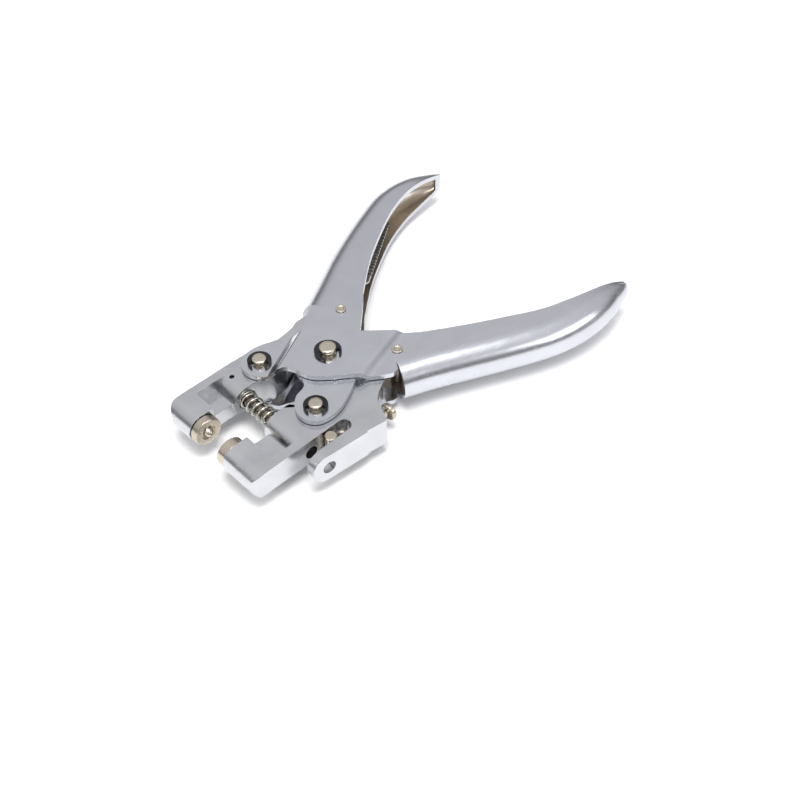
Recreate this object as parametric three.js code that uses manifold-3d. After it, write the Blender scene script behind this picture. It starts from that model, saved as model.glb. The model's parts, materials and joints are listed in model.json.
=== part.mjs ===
// Parallel-jaw grommet setter: two channel handles cross at a main pin and close two cast jaws.
// Squeezing pushes a round punch through the leather slot and brings the two setting dies together.
// Millimetres. +X runs from the handles to the jaws, +Y to the anvil jaw, +Z up, main pin on the Z axis.
import * as THREE from 'three';
import { mergeVertices } from 'three/addons/utils/BufferGeometryUtils.js';
import Module from 'manifold-3d';

const wasm = await Module();
wasm.setup();

// Driving dimensions
const GAP = 0.3; // clearance between neighbouring pieces
const SHEET = 2.1; // lever sheet thickness
const JAW_HALF = 6.2; // half the thickness of the cast jaws
const LOW = JAW_HALF + GAP; // inner face of a cheek that lies on a jaw
const LOW_TOP = LOW + SHEET;
const HIGH = LOW_TOP + GAP; // inner face of a cheek that crosses the other lever
const HIGH_TOP = HIGH + SHEET;
const PIVOT_REACH = 25.99; // main pin to jaw pin
const PIVOT_ANGLE = THREE.MathUtils.degToRad(38.04); // jaw pin off the centreline, handles open
const JAW_PIN = [PIVOT_REACH * Math.cos(PIVOT_ANGLE), PIVOT_REACH * Math.sin(PIVOT_ANGLE)];
const MAIN_PIN_R = 3.25;
const JAW_PIN_R = 2.75;
const PIN_HEAD = 0.9; // thickness of a pin's lower head
const CLIP = 0.9; // E-clip thickness
const MAIN_PIN_TOP = 14;
const JAW_PIN_TOP = 10.9;
const RIVET = [-21, 16]; // cross rivet of each handle
const RIVET_R = 1.5;
const BACK_R = LOW_TOP; // half-round back of a handle
const HANDLE_FRONT = -13; // where the rounded back starts
const ROD_X = 31.5; // guide punch axis
const ROD_R = 2.4;
const DIE_X = 52; // setting dies' axis
const DIE_R = 5.8;
const DIE_SHANK_R = 3;
const JAW_OUTER = 25.5; // flat outer wall of both jaws
const PUNCH_SIDE = { side: -1, boss: 11, arm: 11.5, web: 12 }; // inner faces of the punch jaw
const ANVIL_SIDE = { side: 1, boss: 6.4, arm: 8, web: 8.8 }; // inner faces of the anvil jaw
const SLOT_Y = 28.2; // centre of the leather slot
const SLOT_R = 2.7; // half the slot's width
const SLOT_BACK = 17.8;
const STOP_Z = -4; // edge stop's rod, below the mid-plane
const STOP_ROD_R = 1.2;
const SPRING_R = 3.8;
const REST_PLANE = HIGH_TOP + GAP + PIN_HEAD; // mid-plane above the main pin's lower face

// Closed geometry as a solid
function solid(geometry) {
  geometry.deleteAttribute('normal');
  geometry.deleteAttribute('uv');
  const merged = mergeVertices(geometry, 1e-4);
  return new wasm.Manifold(new wasm.Mesh({
    numProp: 3,
    vertProperties: new Float32Array(merged.attributes.position.array),
    triVerts: new Uint32Array(merged.index.array),
  }));
}

const join = (first, ...rest) => rest.reduce((all, next) => all.add(next), first);
const cut = (first, ...rest) => rest.reduce((all, next) => all.subtract(next), first);

// Outline through [x, y, corner radius] points; flip = -1 mirrors it in the X axis
function outline(points, flip = 1) {
  const corners = points.map(([x, y]) => new THREE.Vector2(x, y * flip));
  const shape = new THREE.Shape();
  corners.forEach((corner, i) => {
    const radius = points[i][2] ?? 0;
    const back = corners.at(i - 1).clone().sub(corner);
    const ahead = corners[(i + 1) % corners.length].clone().sub(corner);
    const half = Math.acos(back.dot(ahead) / back.length() / ahead.length()) / 2;
    const reach = Math.min(radius / Math.tan(half), back.length() / 2.01, ahead.length() / 2.01);
    const start = corner.clone().addScaledVector(back.normalize(), reach);
    const end = corner.clone().addScaledVector(ahead.normalize(), reach);
    if (i === 0) shape.moveTo(start.x, start.y);
    else shape.lineTo(start.x, start.y);
    if (reach > 0) shape.quadraticCurveTo(corner.x, corner.y, end.x, end.y);
  });
  return shape;
}

function prism(shape, low, high, curveSegments = 4) {
  const settings = { depth: high - low, bevelEnabled: false, curveSegments };
  return solid(new THREE.ExtrudeGeometry(shape, settings).translate(0, 0, low));
}

// Side profile drawn in X and Z, from low to high along Y
function sidePrism(shape, low, high) {
  const settings = { depth: high - low, bevelEnabled: false, curveSegments: 6 };
  return solid(new THREE.ExtrudeGeometry(shape, settings).rotateX(Math.PI / 2).translate(0, high, 0));
}

function box(low, high) {
  const size = high.map((value, i) => value - low[i]);
  const centre = high.map((value, i) => (value + low[i]) / 2);
  return solid(new THREE.BoxGeometry(...size).translate(...centre));
}

const toAxis = {
  x: (geometry, [y, z]) => geometry.rotateZ(-Math.PI / 2).translate(0, y, z),
  y: (geometry, [x, z]) => geometry.translate(x, 0, z),
  z: (geometry, [x, y]) => geometry.rotateX(Math.PI / 2).translate(x, y, 0),
};

// Solid turned from [radius, height] points about an axis through the given place
function turned(axis, profile, place, segments = 24) {
  const points = profile.map(([radius, height]) => new THREE.Vector2(radius, height));
  return solid(toAxis[axis](new THREE.LatheGeometry(points, segments), place));
}

const rod = (axis, radius, low, high, place, segments = 24) =>
  turned(axis, [[0, low], [radius, low], [radius, high], [0, high]], place, segments);

const model = new THREE.Group();
model.position.z = REST_PLANE;

function piece(name, body, color, roughness = 0.3, metalness = 1) {
  const { numProp, vertProperties, triVerts } = body.getMesh();
  const geometry = new THREE.BufferGeometry();
  geometry.setAttribute('position', new THREE.BufferAttribute(new Float32Array(vertProperties), numProp));
  geometry.setIndex(new THREE.BufferAttribute(new Uint32Array(triVerts), 1));
  geometry.computeVertexNormals();
  const mesh = new THREE.Mesh(geometry, new THREE.MeshStandardMaterial({ color, roughness, metalness }));
  mesh.name = name;
  model.add(mesh);
}

const CHROME = 0xc5c6ce;
const CAST = 0xb8babc;
const NICKEL = 0xb5ab98;
const STEEL = 0x8a8078;
const BLACK = 0x4a4a4c;

// Levers. side = 1 puts the handle at +Y and the jaw lug at -Y. The two pressings are not quite mirror images.
const HANDLES = {
  outer: {
    side: 1,
    back: [[-13, 28.4], [-25, 33.3], [-40, 40.3], [-55, 47.4], [-70, 53.7], [-82, 56.8], [-93, 57.8],
      [-103, 56.9], [-111, 55], [-117, 53.2], [-119.4, 51.6]],
    inside: [[-118.6, 49.4], [-112, 47.9], [-103, 46.4], [-92, 44.2], [-78, 39.9], [-64, 32.7], [-50, 25],
      [-37, 17.1], [-27, 9.8]],
  },
  inner: {
    side: -1,
    back: [[-13, 30.7], [-25, 37.2], [-40, 45.6], [-55, 52.9], [-70, 59.3], [-82, 63.6], [-93, 65.2],
      [-103, 64.2], [-111, 61.2], [-116.5, 58], [-118.8, 55.8]],
    inside: [[-117.4, 54.6], [-112, 54.4], [-103, 53.8], [-92, 51.8], [-78, 46.6], [-64, 38.9], [-50, 29.9],
      [-37, 19.6], [-27, 9.8]],
  },
};
const HANDLE_TIP = -120;

const flipped = (points, side) => points.map(([x, y]) => new THREE.Vector2(x, y * side));

function leverOutline({ side, back, inside }) {
  const shape = new THREE.Shape(flipped([[-27, 9.8], [-16.6, 0.3], [-1.2, -15], [5.5, -18.8], [13, -22.4],
    [18.5, -23.4], [24.5, -22.4], [27.6, -18.5], [27.6, -13.5], [24, -9], [21.6, -6.6], [18.6, -6.3],
    [16.2, -5.5], [14.9, -2], [14.2, 2], [12.3, 6.2], [-8.2, 22], [-11.6, 24.4], back[0]], side));
  shape.splineThru(flipped(back.slice(1), side));
  shape.splineThru(flipped(inside, side));
  return shape;
}

// Centre line of the half-round back, one back radius inside the handle's outer edge
function backCentre({ side, back }) {
  const edge = new THREE.SplineCurve(flipped(back, side));
  const count = 13;
  const centre = edge.getPoints(count).map((point, i) => {
    const along = edge.getTangent(i / count);
    return new THREE.Vector2(point.x - along.y * BACK_R * side, point.y + along.x * BACK_R * side);
  });
  return [centre[0].clone().add(new THREE.Vector2(14, -6 * side)), ...centre];
}

// Everything on one side of a back centre line: inward for shift -60, outward for shift 60
function besideBack(lever, shift, low, high) {
  const centre = backCentre(lever);
  const far = centre.map(({ x, y }) => new THREE.Vector2(x, y + shift * lever.side)).reverse();
  return prism(new THREE.Shape([...centre, ...far]), low, high);
}

// Handle bulk with flat flanges and a half-round back of the given half height
function handleBulk(lever, halfHeight) {
  const path = new THREE.CatmullRomCurve3(backCentre(lever).map(({ x, y }) => new THREE.Vector3(x, y, 0)));
  const circle = new THREE.Shape().absarc(0, 0, halfHeight, 0, 2 * Math.PI);
  const tube = new THREE.ExtrudeGeometry(circle, { steps: 20, curveSegments: 10, extrudePath: path });
  return join(besideBack(lever, -60, -halfHeight, halfHeight), solid(tube));
}

// Height of the handle seen from the side, falling towards the tip
function heightProfile(half, tipHalf, front, taper, tip) {
  const shape = new THREE.Shape();
  shape.moveTo(front, half).lineTo(taper, half).quadraticCurveTo(tip + 8, half, tip, tipHalf);
  shape.lineTo(tip, -tipHalf).quadraticCurveTo(tip + 8, -half, taper, -half).lineTo(front, -half);
  return sidePrism(shape, -80, 80);
}

function handle(lever) {
  const behindJoggle = outline([[-150, -23.5], [20, 25.8], [20, 100], [-150, 100]], lever.side);
  const plan = prism(leverOutline(lever), -BACK_R, BACK_R, 5).intersect(prism(behindJoggle, -20, 20));
  const outer = plan.intersect(handleBulk(lever, BACK_R))
    .intersect(heightProfile(BACK_R, 3.2, HANDLE_FRONT, -86, HANDLE_TIP));
  const hollow = handleBulk(lever, LOW).intersect(heightProfile(LOW, 2, 0, -84, HANDLE_TIP + 7));
  return outer.subtract(hollow);
}

// Sheet that steps up from the low level to the high level on the left of a line from start to end
function joggledSheet(start, end, face) {
  const line = new THREE.Vector3(end[0] - start[0], end[1] - start[1], 0).normalize();
  const up = new THREE.Vector3(0, 0, 1);
  const across = new THREE.Vector3().crossVectors(up, line);
  const bend = 1.5;
  const far = 60;
  const section = [[-far, LOW], [-bend, LOW], [bend, HIGH], [far, HIGH],
    [far, HIGH_TOP], [bend, HIGH_TOP], [-bend, LOW_TOP], [-far, LOW_TOP]];
  const shape = new THREE.Shape(section.map(([x, z]) => new THREE.Vector2(x, z * face)));
  const geometry = new THREE.ExtrudeGeometry(shape, { depth: 2 * far, bevelEnabled: false });
  const basis = new THREE.Matrix4().makeBasis(across, up, new THREE.Vector3().crossVectors(across, up));
  basis.setPosition(new THREE.Vector3(start[0], start[1], 0).addScaledVector(line, -far));
  return solid(geometry.applyMatrix4(basis));
}

const pinHoles = (side) => [
  rod('z', MAIN_PIN_R + GAP, -20, 20, [0, 0]),
  rod('z', JAW_PIN_R + GAP, -20, 20, [JAW_PIN[0], -JAW_PIN[1] * side]),
  rod('z', RIVET_R + GAP, -20, 20, [RIVET[0], RIVET[1] * side], 16),
];

// Flat outline of a lever's cheeks without the rounded back
function cheekPlan(lever, low, high) {
  const round = besideBack(lever, 40, low, high).intersect(box([-200, -100, low], [HANDLE_FRONT, 100, high]));
  const zone = box([-60, -70, low], [40, 70, high]);
  return prism(leverOutline(lever), low, high, 5).intersect(zone).subtract(round);
}

function innerLever() {
  const lever = HANDLES.inner;
  const body = join(handle(lever), cheekPlan(lever, LOW, LOW_TOP), cheekPlan(lever, -LOW_TOP, -LOW));
  return cut(body, ...pinHoles(lever.side));
}

function outerLever() {
  const lever = HANDLES.outer;
  const plan = cheekPlan(lever, -20, 20);
  const lugHalf = prism(outline([[60, -60], [60, 22], [-40, -8], [-40, -60]]), -20, 20);
  const lugZone = prism(outline([[60, -60], [60, 20], [-40, -10], [-40, -60]]), -20, 20);
  const sheets = [1, -1].flatMap((face) => [
    joggledSheet([2.6, -16.1], [20, -7.9], face).intersect(lugHalf),
    joggledSheet([-4, 17.2], [-24.7, 11.2], face).subtract(lugZone),
  ]).map((sheet) => sheet.intersect(plan));
  return cut(join(handle(lever), ...sheets), ...pinHoles(lever.side));
}

piece('outer_lever', outerLever(), CHROME, 0.22);
piece('inner_lever', innerLever(), CHROME, 0.22);

// Slotted strip with an eye, lying in the inner lever's channel
function toothedStrip() {
  const strip = outline([[-2.4, -2, 1.9], [-2.4, 2, 1.9], [39, 2, 0.8], [39, -2, 0.8]]);
  const slots = Array.from({ length: 18 }, (_, i) => {
    const x = 3 + i * 2;
    return prism(outline([[x, -3], [x + 1, -3], [x + 1.4, 0.2], [x + 0.4, 0.2]]), 0, 4);
  });
  const flat = cut(prism(strip, 1, 2), rod('z', 1.2, 0, 4, [0.2, 0], 12), ...slots);
  return flat.rotate([0, 0, 180 + 33.5]).translate([-45.2, -28.2, 0]);
}
piece('toothed_strip', toothedStrip(), 0xa8aaa6, 0.4);

// Pins, each with a lower head and a clip groove near the top
function headedPin(radius, top, sheetTop, headR, [x, y]) {
  const head = -sheetTop - GAP;
  const groove = radius - 0.65;
  return turned('z', [[0, head - PIN_HEAD], [headR - 0.4, head - PIN_HEAD], [headR, head - PIN_HEAD + 0.4],
    [headR, head], [radius, head], [radius, sheetTop], [groove, sheetTop], [groove, sheetTop + CLIP + 2 * GAP],
    [radius, sheetTop + CLIP + 2 * GAP], [radius, top - 0.5], [radius - 0.5, top], [0, top]], [x, y]);
}

// E-clip with three inner lobes, open towards the given angle in degrees
function eClip(pinR, outerR, sheetTop, [x, y], open) {
  const low = sheetTop + GAP;
  const ring = rod('z', outerR, low, low + CLIP, [0, 0], 28);
  const mouth = pinR - 0.35;
  const relief = [55, 180, 305].map((angle) => {
    const turn = THREE.MathUtils.degToRad(angle);
    return rod('z', 1.3, 0, 20, [(pinR + 0.3) * Math.cos(turn), (pinR + 0.3) * Math.sin(turn)], 12);
  });
  const clip = cut(ring, rod('z', mouth, 0, 20, [0, 0]), box([0, -mouth, 0], [20, mouth, 20]), ...relief);
  return clip.rotate([0, 0, open]).translate([x, y, 0]);
}

const pins = [
  { name: 'main_pivot_pin', clip: 'main_pin_clip', radius: MAIN_PIN_R, top: MAIN_PIN_TOP, sheetTop: HIGH_TOP,
    headR: 5.6, clipR: 5.25, place: [0, 0], open: 75 },
  { name: 'punch_jaw_pin', clip: 'punch_pin_clip', radius: JAW_PIN_R, top: JAW_PIN_TOP, sheetTop: LOW_TOP,
    headR: 4.4, clipR: 4.6, place: [JAW_PIN[0], -JAW_PIN[1]], open: 45 },
  { name: 'anvil_jaw_pin', clip: 'anvil_pin_clip', radius: JAW_PIN_R, top: JAW_PIN_TOP, sheetTop: LOW_TOP,
    headR: 4.4, clipR: 4.6, place: JAW_PIN, open: 45 },
];
for (const { name, clip, radius, top, sheetTop, headR, clipR, place, open } of pins) {
  piece(name, headedPin(radius, top, sheetTop, headR, place), NICKEL);
  piece(clip, eClip(radius, clipR, sheetTop, place, open), BLACK, 0.45);
}

// Cross rivet with a dished head at each end, and the tube that keeps the cheeks apart
for (const [name, side] of [['outer', 1], ['inner', -1]]) {
  const place = [RIVET[0], RIVET[1] * side];
  const headLow = LOW_TOP + GAP / 2;
  const headTop = headLow + 0.6;
  const half = [[2.1, headLow], [2.1, headTop - 0.15], [1.9, headTop], [1.2, headTop], [1, headTop - 0.4]];
  const lower = half.map(([radius, height]) => [radius, -height]).reverse();
  piece(`${name}_lever_rivet`, turned('z', [[0, -headTop + 0.4], ...lower, [RIVET_R, -headLow],
    [RIVET_R, headLow], ...half, [0, headTop - 0.4]], place, 20), 0xc8b8a0);
  const tubeEnd = LOW - GAP / 2;
  piece(`${name}_rivet_spacer`, turned('z', [[RIVET_R + GAP, -tubeEnd], [3, -tubeEnd], [3, tubeEnd],
    [RIVET_R + GAP, tubeEnd], [RIVET_R + GAP, -tubeEnd]], place, 20), STEEL, 0.4);
}

// Jaws. side = 1 is the anvil jaw at +Y.
const SLAB = [-JAW_HALF, JAW_HALF];

// Block along Y with a half-round nose about the line at x, z = 0
function roundNosed(back, x, low, high) {
  const shape = new THREE.Shape().moveTo(back, -JAW_HALF).lineTo(x, -JAW_HALF);
  shape.absarc(x, 0, JAW_HALF, -Math.PI / 2, Math.PI / 2);
  return sidePrism(shape.lineTo(back, JAW_HALF), low, high);
}

// Die arm, outer rail, spring boss and the recessed web between them
function jawFront({ side, boss, arm, web }) {
  const span = (from, to) => [from * side, to * side].sort((a, b) => a - b);
  const corner = prism(outline([[40, 0], [DIE_X + JAW_HALF, 0], [DIE_X + JAW_HALF, JAW_OUTER, 5],
    [40, JAW_OUTER]], side), ...SLAB, 6);
  const dieArm = roundNosed(46.4, DIE_X, ...span(arm, JAW_OUTER)).intersect(corner);
  const [railLow, railHigh] = span(21.8, JAW_OUTER);
  const rail = box([26, railLow, -JAW_HALF], [DIE_X, railHigh, JAW_HALF]);
  const [webLow, webHigh] = span(web, 24);
  const recess = box([30, webLow, -JAW_HALF + 1.2], [48, webHigh, 1.2]);
  const springBoss = roundNosed(25.6, ROD_X, ...span(boss, 23));
  const dieBore = rod('y', DIE_SHANK_R + GAP, ...span(arm - 2, arm + 7), [DIE_X, 0]);
  return join(dieArm, rail, recess, springBoss).subtract(dieBore);
}

const pinBore = (side) => rod('z', JAW_PIN_R + GAP, -20, 20, [JAW_PIN[0], JAW_PIN[1] * side]);

function punchJaw() {
  const body = prism(outline([[28, -PUNCH_SIDE.boss], [28, -25, 1], [20, -24.9, 4], [12.6, -24.4, 3],
    [6, -22.4, 4], [-2, -23.6, 2], [-5, -25, 2], [-12.6, -25, 0.8], [-12.6, -20, 0.8], [-5, -15.4, 4],
    [6, -13.6, 4], [13, -10, 4], [20.5, -8.6, 5], [25, -10.5, 3]]), ...SLAB);
  const rodBore = rod('y', ROD_R + GAP, -22, 0, [ROD_X, 0]);
  const springSeat = rod('y', SPRING_R + GAP + 0.3, -13, 0, [ROD_X, 0]);
  const lockHole = rod('z', 1, 0, 20, [ROD_X, -19.3], 12);
  return cut(join(jawFront(PUNCH_SIDE), body), rodBore, springSeat, lockHole, pinBore(-1));
}
piece('punch_jaw', punchJaw(), CAST, 0.35);

function anvilJaw() {
  const body = prism(outline([[28, ANVIL_SIDE.boss], [28, JAW_OUTER], [SLOT_BACK, JAW_OUTER],
    [SLOT_BACK, 35.6], [5, 37.6, 1], [2.7, 32, 3], [0.9, 28, 4], [-2, 25.4, 3], [-6.5, 23, 3],
    [-13, 20.9, 0.8], [-16.4, 17.4, 0.8], [-12, 15.8, 3], [-4, 14.6, 4], [6, 13, 4], [13, 10, 4],
    [20.5, 8.6, 5], [24, ANVIL_SIDE.boss, 3]]), ...SLAB);
  const fingerPlan = prism(outline([[14, 30.9], [60, 30.9], [60, 34.2], [37, 34.6, 4], [30, 35.4, 2],
    [14, 36.8]]), ...SLAB);
  const finger = roundNosed(10, ROD_X + 0.8, 30.9, 38).intersect(fingerPlan);
  const slot = box([SLOT_BACK, SLOT_Y - SLOT_R, -20], [60, SLOT_Y + SLOT_R, 20]);
  const slotEnd = rod('z', SLOT_R, -20, 20, [SLOT_BACK, SLOT_Y], 20);
  const punchBore = rod('y', ROD_R + GAP, 0, 50, [ROD_X, 0]);
  const stopBore = rod('x', STOP_ROD_R + GAP, -20, 20, [SLOT_Y, STOP_Z], 16);
  return cut(join(jawFront(ANVIL_SIDE), body, finger), slot, slotEnd, punchBore, stopBore, pinBore(1));
}
piece('anvil_jaw', anvilJaw(), CAST, 0.35);

// Guide punch: pressed into the punch jaw, its cupped cutting end waits inside the anvil jaw's bore
const ROD_START = -21.5;
const ROD_END = 20;
piece('guide_punch_rod', turned('y', [[0, ROD_START], [ROD_R, ROD_START], [ROD_R, ROD_END],
  [ROD_R - 0.5, ROD_END], [ROD_R - 1.4, ROD_END - 1.6], [0, ROD_END - 1.6]], [ROD_X, 0]), STEEL, 0.3);
piece('rod_lock_pin', rod('z', 0.7, ROD_R + GAP, 5.4, [ROD_X, -19.3], 10), STEEL, 0.4);

// Spring between the two bosses, closed and ground at both ends
function returnSpring(start, end, wire, coilR, turns) {
  const steps = turns * 12;
  const points = Array.from({ length: steps + 1 }, (_, i) => {
    const share = i / steps;
    const closed = 1 / turns;
    const rise = THREE.MathUtils.clamp((share - closed) / (1 - 2 * closed), 0, 1);
    const lift = wire * 1.05 * (Math.min(share, closed) + Math.max(share - 1 + closed, 0)) / closed;
    const angle = 2 * Math.PI * turns * share;
    const y = start + wire / 2 + lift + rise * (end - start - wire * 3.1);
    return new THREE.Vector3(ROD_X + coilR * Math.cos(angle), y, coilR * Math.sin(angle));
  });
  const section = new THREE.Shape().absarc(0, 0, wire / 2, 0, 2 * Math.PI);
  const path = new THREE.CatmullRomCurve3(points);
  return solid(new THREE.ExtrudeGeometry(section, { steps, curveSegments: 3, extrudePath: path }));
}
piece('return_spring', returnSpring(-11.9, ANVIL_SIDE.boss - GAP, 0.8, SPRING_R - 0.5, 7), 0xc9c9ba, 0.3);
piece('spring_seat_washer', turned('y', [[ROD_R + GAP, -12.8], [SPRING_R, -12.8], [SPRING_R, -12.2],
  [ROD_R + GAP, -12.2], [ROD_R + GAP, -12.8]], [ROD_X, 0], 20), NICKEL);

// Dies, each with a shank in its arm
const SET_BACK = GAP - PUNCH_SIDE.arm;
const SET_FACE = -8.1;
piece('setting_die', turned('y', [[0, SET_BACK - 6], [DIE_SHANK_R, SET_BACK - 6], [DIE_SHANK_R, SET_BACK],
  [DIE_R, SET_BACK], [DIE_R, SET_FACE - 0.3], [DIE_R - 0.3, SET_FACE], [3.1, SET_FACE], [2.6, SET_FACE - 0.9],
  [2.1, SET_FACE - 0.7], [1.7, SET_FACE + 0.6], [0.5, SET_FACE + 1.9], [0, SET_FACE + 2]],
[DIE_X, 0], 28), NICKEL);
const ANVIL_BACK = ANVIL_SIDE.arm - GAP;
const ANVIL_FACE = 3.7;
piece('anvil_die', turned('y', [[0, ANVIL_FACE + 3], [2, ANVIL_FACE + 2.6], [2.6, ANVIL_FACE],
  [DIE_R - 0.3, ANVIL_FACE], [DIE_R, ANVIL_FACE + 0.3], [DIE_R, ANVIL_BACK], [DIE_SHANK_R, ANVIL_BACK],
  [DIE_SHANK_R, ANVIL_BACK + 6], [0, ANVIL_BACK + 6]], [DIE_X, 0], 28), NICKEL);

// Edge stop: round post in the slot on a rod that runs back through the block to a knob
const POST_X = 24.2;
const POST_R = SLOT_R - GAP;
const post = rod('z', POST_R, -JAW_HALF + 0.4, JAW_HALF - 0.6, [POST_X, SLOT_Y]);
piece('edge_stop_post', post.subtract(rod('x', STOP_ROD_R + GAP, 0, POST_X, [SLOT_Y, STOP_Z], 16)), NICKEL);
const KNOB_FRONT = -3.4;
const KNOB_BACK = KNOB_FRONT - 2.2;
const KNOB_R = 3.5;
piece('edge_stop_rod', rod('x', STOP_ROD_R, KNOB_BACK + 0.6, POST_X - GAP, [SLOT_Y, STOP_Z], 16), NICKEL);
const knobBore = STOP_ROD_R + GAP;
const knob = [[knobBore, KNOB_BACK], [KNOB_R - 0.4, KNOB_BACK], [KNOB_R, KNOB_BACK + 0.4],
  [KNOB_R, KNOB_FRONT - 0.4], [KNOB_R - 0.4, KNOB_FRONT], [knobBore, KNOB_FRONT], [knobBore, KNOB_BACK]];
piece('edge_stop_knob', turned('x', knob, [SLOT_Y, STOP_Z]), NICKEL);

export default model;
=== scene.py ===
"""Parallel-jaw grommet setter: fine surfaces, plated metals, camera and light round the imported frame.

Shapes are worked out in millimetres about the tool's mid-plane and turned into metres when a mesh is made.
"""
import json
import math

import bmesh
import bpy
from mathutils import Matrix, Vector


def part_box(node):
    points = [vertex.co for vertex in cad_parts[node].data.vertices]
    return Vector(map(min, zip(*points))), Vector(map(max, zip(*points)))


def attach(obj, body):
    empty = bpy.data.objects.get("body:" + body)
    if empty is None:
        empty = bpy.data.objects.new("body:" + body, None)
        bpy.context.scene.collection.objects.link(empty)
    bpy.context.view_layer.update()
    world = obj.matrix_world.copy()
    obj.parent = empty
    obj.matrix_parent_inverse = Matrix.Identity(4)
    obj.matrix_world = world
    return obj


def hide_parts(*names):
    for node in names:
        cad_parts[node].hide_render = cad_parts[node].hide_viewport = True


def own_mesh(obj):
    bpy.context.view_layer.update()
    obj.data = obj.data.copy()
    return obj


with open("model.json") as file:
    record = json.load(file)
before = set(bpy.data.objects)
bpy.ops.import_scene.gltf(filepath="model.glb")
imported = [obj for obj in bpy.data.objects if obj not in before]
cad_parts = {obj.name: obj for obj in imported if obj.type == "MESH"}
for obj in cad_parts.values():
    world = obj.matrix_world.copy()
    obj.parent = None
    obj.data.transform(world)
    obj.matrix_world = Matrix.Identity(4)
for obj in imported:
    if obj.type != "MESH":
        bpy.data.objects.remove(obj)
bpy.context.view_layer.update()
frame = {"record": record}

scene = bpy.context.scene

MM = 0.001  # metres in a millimetre

# Sizes in millimetres. THROUGH is past every face that a hole has to clear.
FIT_GAP, PIN_GAP = 0.3, 0.25
THROUGH = 20
MAIN_PIN_R, JAW_PIN_R = 3.25, 2.75
MAIN_CLIP_R, JAW_CLIP_R = 5.25, 4.6
RIVET_R, RIVET_HEAD_R, SPACER_R = 1.5, 2.1, 3.0
JOGGLE_RUN, JOGGLE_CUT = 3.8, 0.35
LOCK_PIN_R, WASHER_R, STOP_ROD_R = 0.7, 3.8, 1.2
DIE_R, DIE_SHANK_R, DIE_SHANK_LENGTH = 5.8, 3.0, 6.0
WIRE_R, JAW_TRAVEL = 0.4, 11.3
STRIP_LENGTH, STRIP_HALF, STRIP_PITCH = 39, 2, 2
SLOT_BACK, FINGER_IN = 17.8, 30.9

SPRING_TURNS, STRIP_SLOTS = 7, 18


# ---------------------------------------------------------------- places from the frame
def node_box(node):
    """Lowest and highest corner of a CAD node in millimetres about the mid-plane."""
    low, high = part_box(node)
    shift = Vector((0, 0, MID))
    return Vector(low) / MM - shift, Vector(high) / MM - shift


def joint_place(name):
    joint = next(j for j in frame["record"]["behaviour"]["joints"] if j["name"] == name)
    return Vector(joint["pos_m"]) / MM


MID = joint_place("handle_squeeze").z
JAW_HALF = node_box("anvil_jaw")[1].z
LEVER_TOP = node_box("outer_lever")[1].z
LOW_TOP = node_box("inner_lever")[1].z
STEP = LEVER_TOP - LOW_TOP
SHEET = STEP - FIT_GAP
LOW = LOW_TOP - SHEET
PUNCH_PIN = joint_place("punch_jaw_pivot").xy
ANVIL_PIN = joint_place("anvil_jaw_pivot").xy
JAW_OUTER = -node_box("punch_jaw")[0].y
NOSE = node_box("punch_jaw")[1].x
DIE_X = NOSE - JAW_HALF
ROD_LOW, ROD_HIGH = node_box("guide_punch_rod")
ROD_X = (ROD_LOW.x + ROD_HIGH.x) / 2
ROD_R = (ROD_HIGH.x - ROD_LOW.x) / 2


# ---------------------------------------------------------------- mesh tools
def finish_mesh(name, bm, outward=True):
    bmesh.ops.remove_doubles(bm, verts=bm.verts, dist=1e-5)
    if outward:
        bmesh.ops.recalc_face_normals(bm, faces=bm.faces)
    for vert in bm.verts:
        vert.co = Vector((vert.co.x, vert.co.y, vert.co.z + MID)) * MM
    mesh = bpy.data.meshes.new(name)
    bm.to_mesh(mesh)
    bm.free()
    obj = bpy.data.objects.new(name, mesh)
    scene.collection.objects.link(obj)
    return obj


def rounded(points, steps=8):
    """Closed outline through (x, y, corner radius) points, each corner a true arc."""
    outline = []
    count = len(points)
    for i, (x, y, radius) in enumerate(points):
        corner = Vector((x, y))
        back = Vector(points[i - 1][:2]) - corner
        ahead = Vector(points[(i + 1) % count][:2]) - corner
        half = back.angle(ahead) / 2
        reach = min(radius / math.tan(half), back.length / 2.02, ahead.length / 2.02)
        if reach < 1e-6:
            outline.append(corner)
            continue
        radius = reach * math.tan(half)
        centre = corner + (back.normalized() + ahead.normalized()).normalized() * radius / math.sin(half)
        start = corner + back.normalized() * reach - centre
        turn = start.angle_signed(corner + ahead.normalized() * reach - centre)
        for step in range(steps + 1):
            angle = -turn * step / steps
            outline.append(centre + Matrix.Rotation(angle, 2) @ start)
    return outline


def smooth_curve(points, count):
    """Catmull-Rom curve through the points, evenly spaced by length."""
    knots = [Vector(p) for p in points]
    knots = [2 * knots[0] - knots[1], *knots, 2 * knots[-1] - knots[-2]]
    dense = []
    for a, b, c, d in zip(knots, knots[1:], knots[2:], knots[3:]):
        for i in range(24):
            t = i / 24
            dense.append(0.5 * (2 * b + (c - a) * t + (2 * a - 5 * b + 4 * c - d) * t ** 2
                                + (3 * b - 3 * c + d - a) * t ** 3))
    dense.append(knots[-2])
    lengths = [0.0]
    for a, b in zip(dense, dense[1:]):
        lengths.append(lengths[-1] + (b - a).length)
    out = []
    k = 0
    for i in range(count):
        want = lengths[-1] * i / (count - 1)
        while k < len(lengths) - 2 and lengths[k + 1] < want:
            k += 1
        share = (want - lengths[k]) / max(lengths[k + 1] - lengths[k], 1e-9)
        out.append(dense[k].lerp(dense[k + 1], min(share, 1)))
    return out


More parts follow.
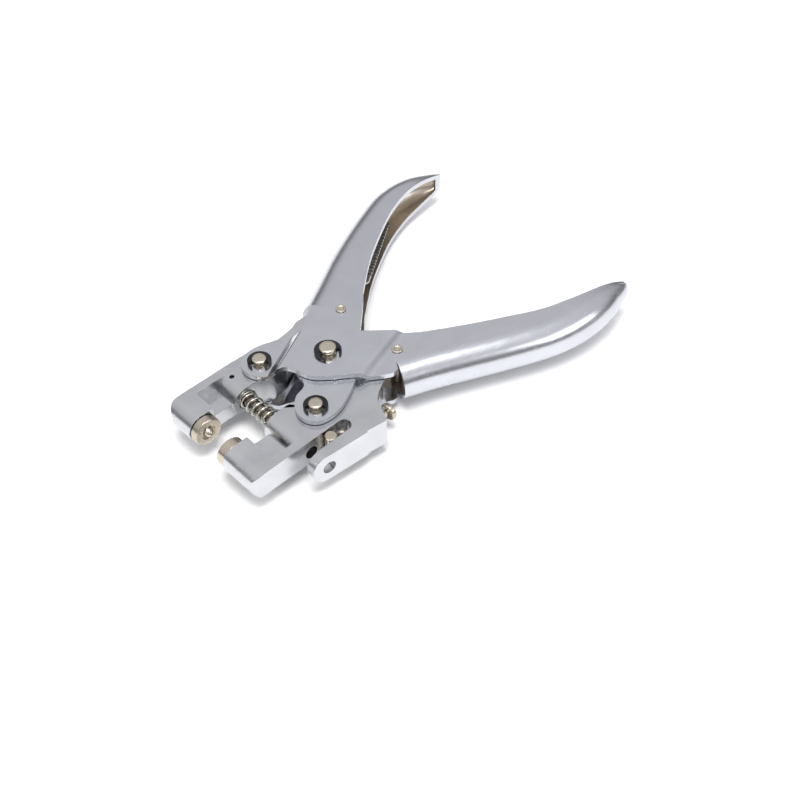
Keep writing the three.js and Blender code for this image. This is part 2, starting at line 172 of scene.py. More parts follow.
def extruded(name, outline, low, high, axis="z"):
    """Closed prism. axis z: outline in x, y. axis y: outline in x, z. axis x: outline in y, z."""
    def place(p, h):
        return {"z": (p[0], p[1], h), "y": (p[0], h, p[1]), "x": (h, p[0], p[1])}[axis]

    bm = bmesh.new()
    rings = [[bm.verts.new(place(p, h)) for p in outline] for h in (low, high)]
    bm.faces.new(rings[0])
    bm.faces.new(rings[1])
    count = len(outline)
    for i in range(count):
        j = (i + 1) % count
        bm.faces.new((rings[0][i], rings[0][j], rings[1][j], rings[1][i]))
    return finish_mesh(name, bm)


def block(name, low, high):
    outline = [(low[0], low[1]), (high[0], low[1]), (high[0], high[1]), (low[0], high[1])]
    return extruded(name, outline, low[2], high[2])


def turned(name, profile, place, axis="z", segments=72):
    """Solid of revolution of (radius, height) points about an axis through the place."""
    def point(radius, height, angle):
        a, b = place[0] + radius * math.cos(angle), place[1] + radius * math.sin(angle)
        return {"z": (a, b, height), "y": (a, height, b), "x": (height, a, b)}[axis]

    bm = bmesh.new()
    rings = [[bm.verts.new(point(r, h, 2 * math.pi * i / segments)) for i in range(segments)]
             for r, h in profile]
    if profile[0] != profile[-1]:
        bm.faces.new(rings[0])
        bm.faces.new(rings[-1])
    for a, b in zip(rings, rings[1:]):
        for i in range(segments):
            j = (i + 1) % segments
            bm.faces.new((a[i], a[j], b[j], b[i]))
    return finish_mesh(name, bm)


def rod(name, radius, low, high, place, axis="z", segments=48):
    return turned(name, [(radius, low), (radius, high)], place, axis, segments)


def apply_modifiers(obj):
    graph = bpy.context.evaluated_depsgraph_get()
    mesh = bpy.data.meshes.new_from_object(obj.evaluated_get(graph))
    obj.modifiers.clear()
    obj.data = mesh


def boolean(base, operation, *tools):
    for tool in tools:
        step = base.modifiers.new("step", "BOOLEAN")
        step.operation = operation
        step.solver = "EXACT"
        step.object = tool
        bpy.context.view_layer.update()
        apply_modifiers(base)
        bpy.data.objects.remove(tool)
    return base


def joined(base, *tools):
    return boolean(base, "UNION", *tools)


def cut(base, *tools):
    return boolean(base, "DIFFERENCE", *tools)


def common(base, *tools):
    return boolean(base, "INTERSECT", *tools)


def softened(obj, width, segments=3, angle=32):
    """Rounds every edge sharper than the angle and shades the rest smooth."""
    bevel = obj.modifiers.new("edges", "BEVEL")
    bevel.width = width * MM
    bevel.segments = segments
    bevel.limit_method = "ANGLE"
    bevel.angle_limit = math.radians(angle)
    bevel.miter_outer = "MITER_ARC"
    bpy.context.view_layer.update()
    apply_modifiers(obj)
    obj.data.shade_smooth()
    obj.data.set_sharp_from_angle(angle=math.radians(40))
    weighted = obj.modifiers.new("normals", "WEIGHTED_NORMAL")
    weighted.keep_sharp = True
    return obj


# ---------------------------------------------------------------- materials
def metal(name, color, rough, grain=(1, 1, 1), grain_scale=900.0, grain_bump=0.02, mottle=0.04,
          rough_spread=0.08, pit=0.0):
    """Metal with drifting tone, streaked or pitted roughness and a fine bump. Scales are per metre."""
    material = bpy.data.materials.new(name)
    material.use_nodes = True
    nodes, links = material.node_tree.nodes, material.node_tree.links
    shader = nodes["Principled BSDF"]
    shader.inputs["Metallic"].default_value = 1.0
    coords = nodes.new("ShaderNodeTexCoord")
    stretch = nodes.new("ShaderNodeMapping")
    stretch.inputs["Scale"].default_value = grain
    links.new(coords.outputs["Object"], stretch.inputs["Vector"])

    def noise(scale, detail, vector):
        texture = nodes.new("ShaderNodeTexNoise")
        texture.inputs["Scale"].default_value = scale
        texture.inputs["Detail"].default_value = detail
        links.new(vector, texture.inputs["Vector"])
        return texture

    def ranged(source, low, high):
        remap = nodes.new("ShaderNodeMapRange")
        remap.inputs["From Min"].default_value = 0.25
        remap.inputs["From Max"].default_value = 0.75
        remap.inputs["To Min"].default_value = low
        remap.inputs["To Max"].default_value = high
        links.new(source, remap.inputs["Value"])
        return remap.outputs["Result"]

    streaks = noise(grain_scale, 4.0, stretch.outputs["Vector"])
    patches = noise(90.0, 3.0, coords.outputs["Object"])
    ramp = nodes.new("ShaderNodeValToRGB")
    dark = [c * (1 - 2.2 * mottle) for c in color]
    ramp.color_ramp.elements[0].color = (*dark, 1)
    ramp.color_ramp.elements[0].position = 0.3
    ramp.color_ramp.elements[1].color = (*[min(c * (1 + mottle), 1) for c in color], 1)
    ramp.color_ramp.elements[1].position = 0.7
    links.new(patches.outputs["Fac"], ramp.inputs["Fac"])
    links.new(ramp.outputs["Color"], shader.inputs["Base Color"])
    links.new(ranged(streaks.outputs["Fac"], rough - rough_spread, rough + rough_spread),
              shader.inputs["Roughness"])
    bump = nodes.new("ShaderNodeBump")
    bump.inputs["Strength"].default_value = 0.35
    bump.inputs["Distance"].default_value = grain_bump * MM
    links.new(streaks.outputs["Fac"], bump.inputs["Height"])
    if pit:
        pits = noise(420.0, 5.0, coords.outputs["Object"])
        second = nodes.new("ShaderNodeBump")
        second.inputs["Strength"].default_value = 0.5
        second.inputs["Distance"].default_value = pit * MM
        links.new(pits.outputs["Fac"], second.inputs["Height"])
        links.new(bump.outputs["Normal"], second.inputs["Normal"])
        bump = second
    links.new(bump.outputs["Normal"], shader.inputs["Normal"])
    return material


ALONG = (0.06, 1, 1)
ROUND_Y = (1, 0.05, 1)
LEVER = metal("lever_plate", (0.62, 0.63, 0.67), 0.24, ALONG, 1400, 0.012, 0.02, 0.05)
# Inside of the channel: the lever's plated sheet, painted darker and brown for the reflection and shade that
# fall inside the channel.
CHANNEL_PAINTED_REFLECTION = metal("channel_painted_reflection", (0.50, 0.44, 0.37), 0.36, ALONG, 900, 0.03, 0.08, 0.1)
CAST = metal("cast_plated", (0.60, 0.61, 0.63), 0.22, (1, 1, 1), 700, 0.01, 0.04, 0.06, pit=0.015)
NICKEL = metal("turned_nickel", (0.56, 0.50, 0.41), 0.26, ROUND_Y, 2200, 0.03, 0.05, 0.07)
PIN_TOP = metal("pin_nickel", (0.62, 0.56, 0.46), 0.28, (1, 1, 0.1), 2000, 0.03, 0.06, 0.08)
ROD_STEEL = metal("ground_rod", (0.34, 0.29, 0.25), 0.2, ROUND_Y, 2600, 0.02, 0.08, 0.06)
CLIP_STEEL = metal("clip_black", (0.055, 0.055, 0.06), 0.38, (1, 1, 1), 2600, 0.03, 0.15, 0.1)
SPRING = metal("spring_wire", (0.66, 0.66, 0.58), 0.2, (1, 1, 1), 1800, 0.02, 0.06, 0.06)
STRIP = metal("stamped_strip", (0.50, 0.51, 0.49), 0.34, (1, 1, 1), 1500, 0.03, 0.08, 0.08)


def dress(obj, body, slot, *materials, nodes=()):
    for material in materials:
        obj.data.materials.append(material)
    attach(obj, body)
    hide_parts(*nodes)
    return obj


# ---------------------------------------------------------------- levers
HANDLES = {
    "outer_lever": {
        "side": 1,
        "back": [(-13, 28.4), (-25, 33.3), (-40, 40.3), (-55, 47.4), (-70, 53.7), (-82, 56.8), (-93, 57.7),
                 (-103, 56.9), (-111, 55), (-117, 53.2), (-119.3, 51.6)],
        "root": [(-34.2, 15.3), (-30.5, 12.3)],
        "inside": [(-17.5, 15.5), (-24.5, 13.2), (-31, 13.4), (-37, 17.1), (-50, 25), (-64, 32.7),
                   (-78, 39.9), (-92, 44.2), (-103, 46.4), (-112, 47.9), (-118.4, 49.4)],
    },
    "inner_lever": {
        "side": -1,
        "back": [(-13, 30.7), (-25, 37.2), (-40, 45.6), (-55, 52.9), (-70, 59.3), (-82, 63.6), (-93, 65),
                 (-103, 64.1), (-111, 61.2), (-116.5, 58), (-118.6, 55.8)],
        "root": [(-34.2, 17.2), (-30.5, 13.3)],
        "inside": [(-18, 17.5), (-25, 15), (-31, 15), (-37, 19.6), (-50, 29.9), (-64, 38.9), (-78, 46.6),
                   (-92, 51.8), (-103, 53.8), (-112, 54.4), (-117.3, 54.8)],
    },
}
CHEEK = [(-25.5, 8.5), (-16.6, 0.3), (-6, -10.4), (-1.2, -15), (5.5, -18.9), (13, -22.4),
         (18.5, -23.5), (24.2, -22.6), (27.2, -19), (27.8, -15), (26.4, -11), (23.6, -8), (21.4, -6.6),
         (18.8, -6.2), (16.4, -5.2), (15, -2.2), (14.3, 2), (12.3, 6.2), (6.6, 11.1), (-1, 16.8),
         (-8.2, 22), (-11.6, 23.8)]
TAPER_START, TAPER_BEND, TAPER_END, TIP_HALF = -86, -112, -120, 3.2


def half_height(x):
    """Half the handle's height: level, then a quadratic curve down to the tip."""
    first, second = TAPER_START - TAPER_BEND, TAPER_BEND - TAPER_END
    run = max(TAPER_START - x, 0)
    share = (first - math.sqrt(first ** 2 - (first - second) * run)) / (first - second)
    return LOW_TOP - (LOW_TOP - TIP_HALF) * share ** 2


def channel_section(outer, inward, inside, half, wall):
    """Section of the channel from the upper inside rim round the back to the lower one."""
    width = (inside - outer).dot(inward)
    reach = max(min(half, 0.9 * width) - wall, 0.3)
    start = outer + inward * wall
    centre = start + inward * reach
    height = half - wall
    section = [(inside.x, inside.y, height)]
    for i in range(21):
        angle = math.pi / 2 - math.pi * i / 20
        place = centre - inward * reach * math.cos(angle)
        section.append((place.x, place.y, height * math.sin(angle)))
    section.append((inside.x, inside.y, -height))
    return section


def handle(name):
    """Channel handle as one closed shell: outer skin, inner skin and the rim between them."""
    stations = 72
    side = HANDLES[name]["side"]
    back = smooth_curve(HANDLES[name]["back"], stations)
    inside = smooth_curve(HANDLES[name]["inside"], stations)
    outer_rows, inner_rows = [], []
    for i in range(stations):
        along = (back[min(i + 1, stations - 1)] - back[max(i - 1, 0)]).normalized()
        inward = Vector((-along.y, along.x))
        half = half_height(back[i].x)
        outer_rows.append(channel_section(back[i], inward, inside[i], half, 0))
        if i < stations - 2:
            inner_rows.append(channel_section(back[i], inward, inside[i], half, SHEET))
    bm = bmesh.new()

    def grid(rows):
        return [[bm.verts.new((x, y * side, z)) for x, y, z in row] for row in rows]

    outer, inner = grid(outer_rows), grid(inner_rows)
    # The inner skin gets the second material: the plate steel painted darker and brown as reflection and
    # shade inside the channel.
    for rows, mark in ((outer, 0), (inner, 1)):
        for a, b in zip(rows, rows[1:]):
            for k in range(len(a) - 1):
                face = bm.faces.new((a[k], a[k + 1], b[k + 1], b[k]))
                face.material_index = mark
        bm.faces.new(rows[-1]).material_index = mark
    for k in range(len(outer[0]) - 1):
        bm.faces.new((outer[0][k], outer[0][k + 1], inner[0][k + 1], inner[0][k]))
    last = len(inner) - 1
    for edge in (0, -1):
        for i in range(last):
            bm.faces.new((outer[i][edge], outer[i + 1][edge], inner[i + 1][edge], inner[i][edge]))
        for i in range(last, stations - 1):
            bm.faces.new((outer[i][edge], outer[i + 1][edge], inner[last][edge]))
    bm.faces.new((outer[-1][0], outer[-1][-1], inner[last][-1], inner[last][0]))
    return finish_mesh(name, bm)


def cheek(name, face, joggles):
    """Flat cheek on one face of the tool, stepped up between the joggle lines if there are any."""
    side = HANDLES[name]["side"]
    front, behind = [Vector(point) for point in HANDLES[name]["back"][:2]]
    along = (behind - front).normalized()
    inward = Vector((-along.y, along.x))
    corner = [front + inward * 5.2 + Vector((1, 0)), front + inward * (LOW_TOP + 0.3), Vector((-33, 21.5))]
    points = [*((x, y, 12) for x, y in CHEEK), *((x, y, 0.6) for x, y in corner),
              *((x, y, 0.4) for x, y in HANDLES[name]["root"])]
    outline = rounded([(x, y * side, radius) for x, y, radius in points], 6)
    low, high = sorted((face * LOW, face * LOW_TOP))
    plate = extruded("cheek", outline, low, high)
    bm = bmesh.new()
    bm.from_mesh(plate.data)
    bends = []
    for start, end in joggles:
        line = (Vector(end) - Vector(start)).normalized()
        bends.append((Vector(start), Vector((-line.y, line.x))))
    for start, across in bends:
        for i in range(-6, 7):
            spot = start + across * i * JOGGLE_CUT
            geometry = [*bm.verts, *bm.edges, *bm.faces]
            bmesh.ops.bisect_plane(bm, geom=geometry, plane_co=(spot.x * MM, spot.y * MM, 0),
                                   plane_no=(across.x, across.y, 0))
    for vert in bm.verts:
        rise = 1.0 if bends else 0.0
        for start, across in bends:
            share = (vert.co.xy / MM - start).dot(across) / JOGGLE_RUN + 0.5
            share = min(max(share, 0), 1)
            rise = min(rise, share * share * (3 - 2 * share))
        vert.co.z += face * rise * STEP * MM
    bm.to_mesh(plate.data)
    bm.free()
    return plate


def lever(name, pin, joggles):
    body = joined(handle(name), *[cheek(name, face, joggles) for face in (1, -1)])
    rivet_low, rivet_high = node_box(f"{name}_rivet")
    middle = (rivet_low + rivet_high) / 2
    holes = (((0, 0), MAIN_PIN_R + PIN_GAP), (pin, JAW_PIN_R + PIN_GAP), (middle.xy, RIVET_R + FIT_GAP))
    cut(body, *[rod("hole", radius, -THROUGH, THROUGH, place) for place, radius in holes])
    softened(body, 0.5, 3, 38)
    body.name = f"{name}_pressing"
    # The second material, on the inner skin, is painted reflection and shade inside the channel.
    return dress(body, name, "lever_chrome", LEVER, CHANNEL_PAINTED_REFLECTION, nodes=[name])


OUTER_JOGGLES = [((2.6, -16.1), (20, -7.9)), ((-4, 17.2), (-24.7, 11.2))]
lever("outer_lever", PUNCH_PIN, OUTER_JOGGLES)
lever("inner_lever", ANVIL_PIN, [])


# ---------------------------------------------------------------- jaws
def round_nosed(name, back, x, low, high):
    arc = [(x + JAW_HALF * math.sin(a), -JAW_HALF * math.cos(a))
           for a in (math.pi * i / 28 for i in range(29))]
    return extruded(name, [(back, -JAW_HALF), *arc, (back, JAW_HALF)], low, high, "y")


def along_y(side, a, b):
    return sorted((a * side, b * side))


def edge_cutter(side, radius, low, high):
    """Cutter that leaves a round of that radius along the jaw's lower outer edge."""
    corner = [(JAW_OUTER + 1, -JAW_HALF - 1), (JAW_OUTER + 1, -JAW_HALF + radius)]
    arc = [(JAW_OUTER - radius * (1 - math.cos(a)), -JAW_HALF + radius * (1 - math.sin(a)))
           for a in (math.pi / 2 * i / 8 for i in range(9))]
    outline = [*corner, *arc, (JAW_OUTER - radius, -JAW_HALF - 1)]
    return extruded("cutter", [(y * side, z) for y, z in outline], low, high, "x")


def jaw_front(side, boss, arm, web):
    corner = rounded([(40, 0, 0), (NOSE, 0, 0), (NOSE, JAW_OUTER * side, 5), (40, JAW_OUTER * side, 0)], 12)
    die_arm = common(round_nosed("arm", 46.4, DIE_X, *along_y(side, arm, JAW_OUTER)),
                     extruded("corner", corner, -THROUGH, THROUGH))
    low, high = along_y(side, 21.8, JAW_OUTER)
    rail = block("rail", (26, low, -JAW_HALF), (DIE_X - 0.02, high, JAW_HALF))
    low, high = along_y(side, web, 24)
    recess = block("web", (30, low, -JAW_HALF + 1.2), (48, high, 1.2))
    boss_block = round_nosed("boss", 25.6, ROD_X, *along_y(side, boss, 23))
    return joined(die_arm, rail, recess, boss_block)


def punch_jaw():
    side, boss = -1, 11
    front = jaw_front(side, boss, 11.5, 12)
    body = extruded("body", rounded([(28, -boss, 0), (28, -25.4, 1), (20, -25.2, 4), (12.6, -24.5, 3),
                                     (6, -22.4, 4), (-2, -23.6, 2), (-5, -25, 2), (-12.6, -25, 0.8),
                                     (-12.6, -20, 0.8), (-5, -15.4, 4), (6, -13.6, 4), (13, -10, 4),
                                     (20.5, -8.6, 5), (25, -10.5, 3)]), -JAW_HALF, JAW_HALF)
    joined(front, body)
    lock_low, lock_high = node_box("rod_lock_pin")
    lock = ((lock_low + lock_high) / 2).xy
    return cut(front, rod("bore", ROD_R + FIT_GAP, -22, 0, (ROD_X, 0), "y"), edge_cutter(side, 1.6, 10, 62),
               rod("seat", WASHER_R + FIT_GAP, -13, 0, (ROD_X, 0), "y"),
               rod("lock", LOCK_PIN_R + FIT_GAP, 0, THROUGH, lock),
               rod("pin", JAW_PIN_R + FIT_GAP, -THROUGH, THROUGH, PUNCH_PIN))


def anvil_jaw():
    side, boss = 1, 6.4
    front = jaw_front(side, boss, 8, 8.8)
    post_low, post_high = node_box("edge_stop_post")
    slot_y, slot_r = (post_low.y + post_high.y) / 2, (post_high.y - post_low.y) / 2 + FIT_GAP
    body = extruded("body", rounded([(28, boss, 0), (28, JAW_OUTER, 0), (SLOT_BACK, JAW_OUTER, 0),
                                     (SLOT_BACK, 35.6, 0), (5, 37.5, 1.2), (2.7, 32, 4), (0.9, 28, 4),
                                     (-2, 25.4, 4), (-6.5, 23, 4), (-13, 20.9, 0.8), (-16.3, 17.4, 0.8),
                                     (-12, 15.8, 3), (-4, 14.6, 4), (6, 13, 4), (13, 10, 4), (20.5, 8.6, 5),
                                     (24, boss, 3)]), -JAW_HALF, JAW_HALF)
    plan = extruded("plan", rounded([(14, FINGER_IN, 0), (60, FINGER_IN, 0), (60, 34.2, 0), (37, 34.6, 4),
                                     (30, 35.4, 3), (14, 36.8, 0)]), -JAW_HALF, JAW_HALF)
    finger = common(round_nosed("finger", 10, ROD_X + 0.8, FINGER_IN, 38), plan)
    joined(front, body, finger)
    slot_end = [(SLOT_BACK - slot_r * math.sin(a), slot_y + slot_r * math.cos(a))
                for a in (math.pi * i / 24 for i in range(24))]
    slot = extruded("slot", [(SLOT_BACK, slot_y - slot_r), (60, slot_y - slot_r), (60, slot_y + slot_r),
                             *slot_end], -THROUGH, THROUGH)
    rod_low, rod_high = node_box("edge_stop_rod")
    rod_place = ((rod_low.y + rod_high.y) / 2, (rod_low.z + rod_high.z) / 2)
    return cut(front, slot, edge_cutter(side, 1.8, 30, 62),
               rod("bore", ROD_R + FIT_GAP, 0, 50, (ROD_X, 0), "y"),
               rod("stop", STOP_ROD_R + FIT_GAP, -THROUGH, THROUGH, rod_place, "x"),
               rod("pin", JAW_PIN_R + FIT_GAP, -THROUGH, THROUGH, ANVIL_PIN))


dress(softened(punch_jaw(), 0.8, 4), "punch_jaw", "cast_satin", CAST, nodes=["punch_jaw"])
dress(softened(anvil_jaw(), 0.8, 4), "anvil_jaw", "cast_satin", CAST, nodes=["anvil_jaw"])


# ---------------------------------------------------------------- pins, clips and rivets
def headed_pin(name, node, radius, sheet_top, body):
    """Pin with a flat head below, a groove for its clip on top of the sheet, and a domed end."""
    low, high = node_box(node)
    head_r = (high.x - low.x) / 2
    place = ((low + high) / 2).xy
    groove_r, groove_top = radius - 0.65, sheet_top + 1.5
    head_top = low.z + 0.9
    profile = [(0.01, low.z), (head_r - 0.4, low.z), (head_r, low.z + 0.4), (head_r, head_top),
               (radius, head_top), (radius, sheet_top), (groove_r, sheet_top),
               (groove_r, groove_top), (radius, groove_top), (radius, high.z - 0.55),
               (radius - 0.15, high.z - 0.2), (radius - 0.55, high.z - 0.02), (radius - 1.1, high.z),
               (0.01, high.z)]
    pin = softened(turned(name, profile, place), 0.08, 2)
    dress(pin, body, "nickel", PIN_TOP, nodes=[node])


def e_clip(name, node, place, outer, pin_r, opening, body):
    """E-clip: a disc with a bore, a mouth facing the opening angle, and three reliefs in the bore."""
    low, high = node_box(node)
    ring = turned(name, [(0.01, low.z), (outer, low.z), (outer, high.z), (0.01, high.z)], place, segments=96)
    mouth = pin_r - 0.35
    reach_out = 8
    turn = math.radians(opening)

    def around(angle, reach):
        return place[0] + reach * math.cos(angle + turn), place[1] + reach * math.sin(angle + turn)

    half_turn, corner, corner_reach = math.pi / 2, math.atan2(mouth, reach_out), math.hypot(mouth, reach_out)
    gate = [around(-half_turn, mouth), around(-corner, corner_reach), around(corner, corner_reach),
            around(half_turn, mouth)]
    reliefs = [rod("relief", 1.3, 0, THROUGH, around(math.radians(angle), pin_r + 0.3))
               for angle in (55, 180, 305)]
    cut(ring, rod("bore", mouth, 0, THROUGH, place), extruded("gate", gate, 0, THROUGH), *reliefs)
    dress(softened(ring, 0.14, 2), body, "clip_black", CLIP_STEEL, nodes=[node])


def lever_rivet(name, place, body):
    """Rivet with the same dished head at both ends."""
    top = node_box(f"{body}_rivet")[1].z
    face = top - 0.6
    half = [(RIVET_R, face), (RIVET_HEAD_R - 0.05, face), (RIVET_HEAD_R, face + 0.1),
            (RIVET_HEAD_R, face + 0.42), (1.95, top), (1.35, top), (1.15, top - 0.12), (1.05, top - 0.4),
            (0.85, top - 0.42), (0.01, top - 0.36)]
    lower = [(radius, -height) for radius, height in reversed(half)]
    rivet = softened(turned(f"{name}_rivet", [*lower, *half], place, segments=64), 0.05, 2)
    dress(rivet, body, "nickel", PIN_TOP, nodes=[f"{name}_lever_rivet"])


def rivet_spacer(name, place, body):
    low, high = node_box(f"{name}_rivet_spacer")
    bore, rim = RIVET_R + FIT_GAP, SPACER_R - 0.1
    tube = [(bore, low.z), (rim, low.z), (SPACER_R, low.z + 0.1), (SPACER_R, high.z - 0.1), (rim, high.z),
            (bore, high.z), (bore, low.z)]
    spacer = softened(turned(f"{name}_spacer", tube, place), 0.05, 2)
    dress(spacer, body, "rod_steel", ROD_STEEL, nodes=[f"{name}_rivet_spacer"])


headed_pin("main_pin", "main_pivot_pin", MAIN_PIN_R, LEVER_TOP, "outer_lever")
headed_pin("punch_pin", "punch_jaw_pin", JAW_PIN_R, LOW_TOP, "outer_lever")
headed_pin("anvil_pin", "anvil_jaw_pin", JAW_PIN_R, LOW_TOP, "inner_lever")
e_clip("main_clip", "main_pin_clip", (0, 0), MAIN_CLIP_R, MAIN_PIN_R, 75, "outer_lever")
e_clip("punch_clip", "punch_pin_clip", PUNCH_PIN, JAW_CLIP_R, JAW_PIN_R, 45, "outer_lever")
e_clip("anvil_clip", "anvil_pin_clip", ANVIL_PIN, JAW_CLIP_R, JAW_PIN_R, 45, "inner_lever")
for lever_name in ("outer", "inner"):
    rivet_low, rivet_high = node_box(f"{lever_name}_lever_rivet")
    rivet_place = ((rivet_low + rivet_high) / 2).xy
    lever_rivet(lever_name, rivet_place, f"{lever_name}_lever")
    rivet_spacer(lever_name, rivet_place, f"{lever_name}_lever")


# ---------------------------------------------------------------- strip in the far handle
def toothed_strip():
    """Flat strip with slots along one edge and an eye at its front end."""
    angle = math.radians(180 + 33.5)
    origin = Vector((-45.2, -28.2))

    def place(x, y):
        return origin + Matrix.Rotation(angle, 2) @ Vector((x, y))

    low, high = node_box("toothed_strip")
    outline = rounded([(-2.4, -STRIP_HALF, 1.9), (-2.4, STRIP_HALF, 1.9), (STRIP_LENGTH, STRIP_HALF, 0.8),
                       (STRIP_LENGTH, -STRIP_HALF, 0.8)])
    strip = extruded("ridged_strip", [place(*p) for p in outline], low.z, high.z)
    slots = []
    for i in range(STRIP_SLOTS):
        x = 3 + STRIP_PITCH * i
        corners = [place(x, -3), place(x + 1, -3), place(x + 1.4, 0.2), place(x + 0.4, 0.2)]
        slots.append(extruded("slot", corners, -THROUGH, THROUGH))
    cut(strip, rod("eye", 1.2, -THROUGH, THROUGH, place(0.2, 0)), *slots)
    dress(softened(strip, 0.12, 2), "inner_lever", "strip_steel", STRIP, nodes=["toothed_strip"])


toothed_strip()


# ---------------------------------------------------------------- punch, spring, dies and stop
def turned_piece(name, node, profile, axis, body, slot, material, segments=72, edge=0.06):
    low, high = node_box(node)
    middle = (low + high) / 2
    place = {"y": (middle.x, middle.z), "x": (middle.y, middle.z), "z": (middle.x, middle.y)}[axis]
    piece = softened(turned(name, profile, place, axis, segments), edge, 2)
    return dress(piece, body, slot, material, nodes=[node])


def punch_rod():
    """Guide rod with the punch's hollow cutting end."""
    mouth = ROD_HIGH.y - 1.6
    turned_piece("punch_rod", "guide_punch_rod",
                 [(0.01, ROD_LOW.y), (ROD_R, ROD_LOW.y), (ROD_R, ROD_HIGH.y), (ROD_R - 0.5, ROD_HIGH.y),
                  (ROD_R - 1.4, mouth), (0.01, mouth)], "y", "punch_jaw", "rod_steel", ROD_STEEL)


def lock_pin():
    low, high = node_box("rod_lock_pin")
    turned_piece("lock_pin", "rod_lock_pin",
                 [(0.01, low.z), (LOCK_PIN_R, low.z), (LOCK_PIN_R, high.z - 0.15),
                  (LOCK_PIN_R - 0.15, high.z), (0.01, high.z)], "z",
                 "punch_jaw", "rod_steel", CLIP_STEEL, 32, 0.03)


def seat_washer():
    low, high = node_box("spring_seat_washer")
    bore = ROD_R + FIT_GAP
    turned_piece("seat_washer", "spring_seat_washer",
                 [(bore, low.y), (WASHER_R, low.y), (WASHER_R, high.y), (bore, high.y), (bore, low.y)],
                 "y", "punch_jaw", "nickel", NICKEL)


def coil_spring():
    """Round wire coiled round the guide rod, with its first and last turns closed."""
    low, high = node_box("return_spring")
    margin = 0.02
    coil = (high.x - low.x) / 2 - WIRE_R - margin
    per_turn, around = 48, 12
    closed_pitch = 2.1 * WIRE_R
    start, end = low.y + WIRE_R + margin, high.y - WIRE_R - margin
    closed = 1 / SPRING_TURNS
    bm = bmesh.new()
    rings = []
    for i in range(SPRING_TURNS * per_turn + 1):
        share = i / (SPRING_TURNS * per_turn)
        lift = closed_pitch * (min(share, closed) + max(share - 1 + closed, 0)) / closed
        rise = min(max((share - closed) / (1 - 2 * closed), 0), 1)
        y = start + lift + rise * (end - start - 2 * closed_pitch)
        angle = 2 * math.pi * SPRING_TURNS * share
        out = Vector((math.cos(angle), 0, math.sin(angle)))
        centre = out * coil + Vector((ROD_X, y, 0))
        ring = []
        for k in range(around):
            turn = 2 * math.pi * k / around
            spoke = out * math.cos(turn) + Vector((0, math.sin(turn), 0))
            ring.append(bm.verts.new(centre + spoke * WIRE_R))
        rings.append(ring)
    for a, b in zip(rings, rings[1:]):
        for k in range(around):
            j = (k + 1) % around
            bm.faces.new((a[k], a[j], b[j], b[k]))
    bm.faces.new(rings[0])
    bm.faces.new(rings[-1])
    spring = finish_mesh("coil_spring", bm)
    spring.data.shade_smooth()
    dress(spring, "punch_jaw", "spring_steel", SPRING, nodes=["return_spring"])
    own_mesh(spring)


def setting_die():
    """Die with a ring groove and a pointed boss that stands out of its face."""
    low, high = node_box("setting_die")
    face = high.y - 2
    back = low.y + DIE_SHANK_LENGTH
    turned_piece("ringed_die", "setting_die",
                 [(0.01, low.y), (DIE_SHANK_R - 0.1, low.y), (DIE_SHANK_R, low.y + 0.2), (DIE_SHANK_R, back),
                  (DIE_R, back), (DIE_R, face - 0.35), (DIE_R - 0.35, face), (3.3, face),
                  (3.05, face - 0.15), (2.75, face - 0.8), (2.45, face - 0.9), (2.15, face - 0.75),
                  (1.95, face - 0.3), (1.6, face + 0.7), (0.9, face + 1.6), (0.45, face + 1.92),
                  (0.01, high.y)], "y", "punch_jaw", "nickel", NICKEL, 96)


def anvil_die():
    """Die with a dished hollow in its face."""
    low, high = node_box("anvil_die")
    back = high.y - DIE_SHANK_LENGTH
    turned_piece("hollow_die", "anvil_die",
                 [(0.01, low.y + 3), (1.4, low.y + 2.85), (2.1, low.y + 2.3), (2.45, low.y + 0.4),
                  (2.75, low.y), (DIE_R - 0.35, low.y), (DIE_R, low.y + 0.35), (DIE_R, back),
                  (DIE_SHANK_R, back), (DIE_SHANK_R, high.y - 0.2), (DIE_SHANK_R - 0.1, high.y),
                  (0.01, high.y)], "y", "anvil_jaw", "nickel", NICKEL, 96)


def stop_post():
    low, high = node_box("edge_stop_post")
    radius, edge = (high.x - low.x) / 2, 0.3
    turned_piece("stop_post", "edge_stop_post",
                 [(0.01, low.z), (radius - edge, low.z), (radius, low.z + edge), (radius, high.z - edge),
                  (radius - edge, high.z), (0.01, high.z)], "z", "edge_stop", "nickel", NICKEL)


def stop_rod():
    low, high = node_box("edge_stop_rod")
    turned_piece("stop_rod", "edge_stop_rod",
                 [(0.01, low.x), (STOP_ROD_R - 0.15, low.x), (STOP_ROD_R, low.x + 0.15),
                  (STOP_ROD_R, high.x), (0.01, high.x)], "x", "edge_stop", "nickel", NICKEL)


def stop_knob():
    low, high = node_box("edge_stop_knob")
    radius, edge, bore = (high.y - low.y) / 2, 0.4, STOP_ROD_R + FIT_GAP
    turned_piece("stop_knob", "edge_stop_knob",
                 [(bore, low.x), (radius - edge, low.x), (radius, low.x + edge), (radius, high.x - edge),
                  (radius - edge, high.x), (bore, high.x), (bore, low.x)],
                 "x", "edge_stop", "nickel", NICKEL)


punch_rod()
lock_pin()
seat_washer()
coil_spring()
setting_die()
anvil_die()
stop_post()
stop_rod()
stop_knob()


# ---------------------------------------------------------------- floor, light and camera
def pale_floor():
    """Plain sheet just under the tool."""
    bm = bmesh.new()
    reach, drop = 3000, 0.02
    corners = [(-reach, -reach), (reach, -reach), (reach, reach), (-reach, reach)]
    bm.faces.new([bm.verts.new((x, y, -MID - drop)) for x, y in corners])
    floor = finish_mesh("pale_floor", bm, outward=False)
    material = bpy.data.materials.new("floor_paper")
    material.use_nodes = True
    shader = material.node_tree.nodes["Principled BSDF"]
    shader.inputs["Base Color"].default_value = (0.93, 0.93, 0.935, 1)
    shader.inputs["Roughness"].default_value = 0.8
    floor.data.materials.append(material)


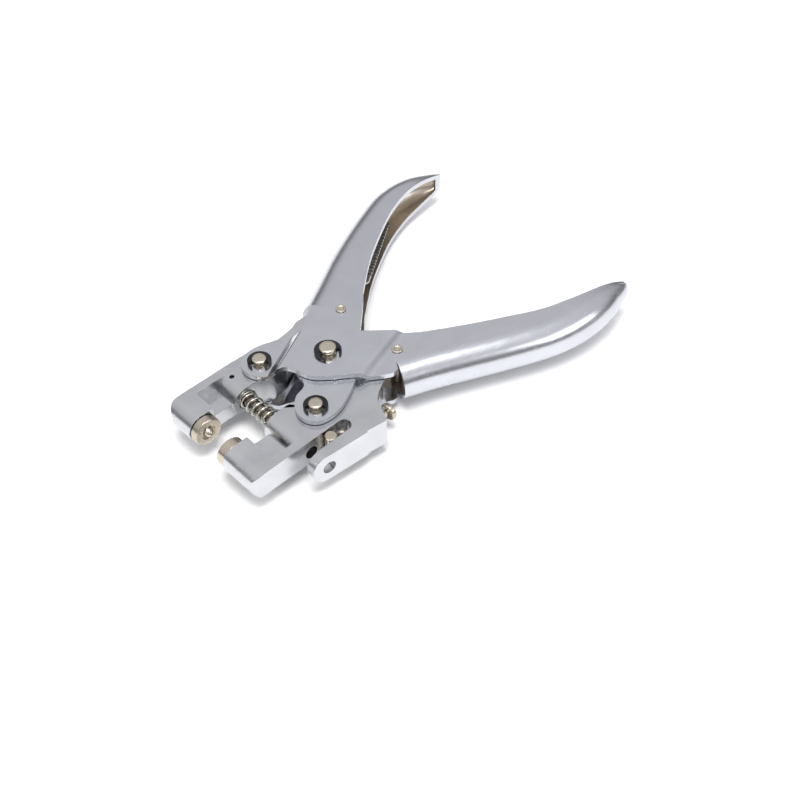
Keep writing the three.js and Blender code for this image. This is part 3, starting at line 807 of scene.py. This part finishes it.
def soft_light(name, place, target, width, height, power):
    data = bpy.data.lights.new(name, "AREA")
    data.shape = "RECTANGLE"
    data.size, data.size_y, data.energy = width, height, power
    lamp = bpy.data.objects.new(name, data)
    lamp.location = place
    lamp.rotation_euler = (Vector(target) - Vector(place)).to_track_quat("-Z", "Y").to_euler()
    scene.collection.objects.link(lamp)


def studio():
    pale_floor()
    soft_light("top_box", (0.1, 0.15, 1.0), (0, 0, 0), 0.45, 0.45, 8)
    soft_light("side_box", (0.75, -0.1, 0.4), (0, 0, 0), 0.5, 0.35, 1.2)
    soft_light("back_box", (-0.35, 0.75, 0.45), (0, 0, 0), 0.6, 0.3, 1.5)
    world = bpy.data.worlds.new("studio")
    scene.world = world
    world.use_nodes = True
    nodes, links = world.node_tree.nodes, world.node_tree.links
    coords = nodes.new("ShaderNodeTexCoord")
    split = nodes.new("ShaderNodeSeparateXYZ")
    ramp = nodes.new("ShaderNodeValToRGB")
    for position, brightness in ((0.12, 0.22), (0.3, 0.3), (0.5, 0.75)):
        ramp.color_ramp.elements.new(position).color = (brightness, brightness, brightness * 1.03, 1)
    ramp.color_ramp.elements[0].color = (0.6, 0.6, 0.61, 1)
    ramp.color_ramp.elements[-1].color = (0.95, 0.95, 0.97, 1)
    links.new(coords.outputs["Generated"], split.inputs["Vector"])
    links.new(split.outputs["Z"], ramp.inputs["Fac"])
    links.new(ramp.outputs["Color"], nodes["Background"].inputs["Color"])
    nodes["Background"].inputs["Strength"].default_value = 0.85
    scene.view_settings.view_transform = "Standard"


def camera():
    data = bpy.data.cameras.new("camera")
    data.sensor_width = 36
    data.lens = 49.5
    view = bpy.data.objects.new("camera", data)
    place = Vector((185.4, 230.9, 304.0 + MID)) * MM
    target = Vector((-9.0, 29.6, MID)) * MM
    roll = Matrix.Rotation(math.radians(-0.564), 4, "Z")
    view.matrix_world = (Matrix.Translation(place)
                         @ (target - place).to_track_quat("-Z", "Y").to_matrix().to_4x4() @ roll)
    scene.collection.objects.link(view)
    scene.camera = view


studio()
camera()
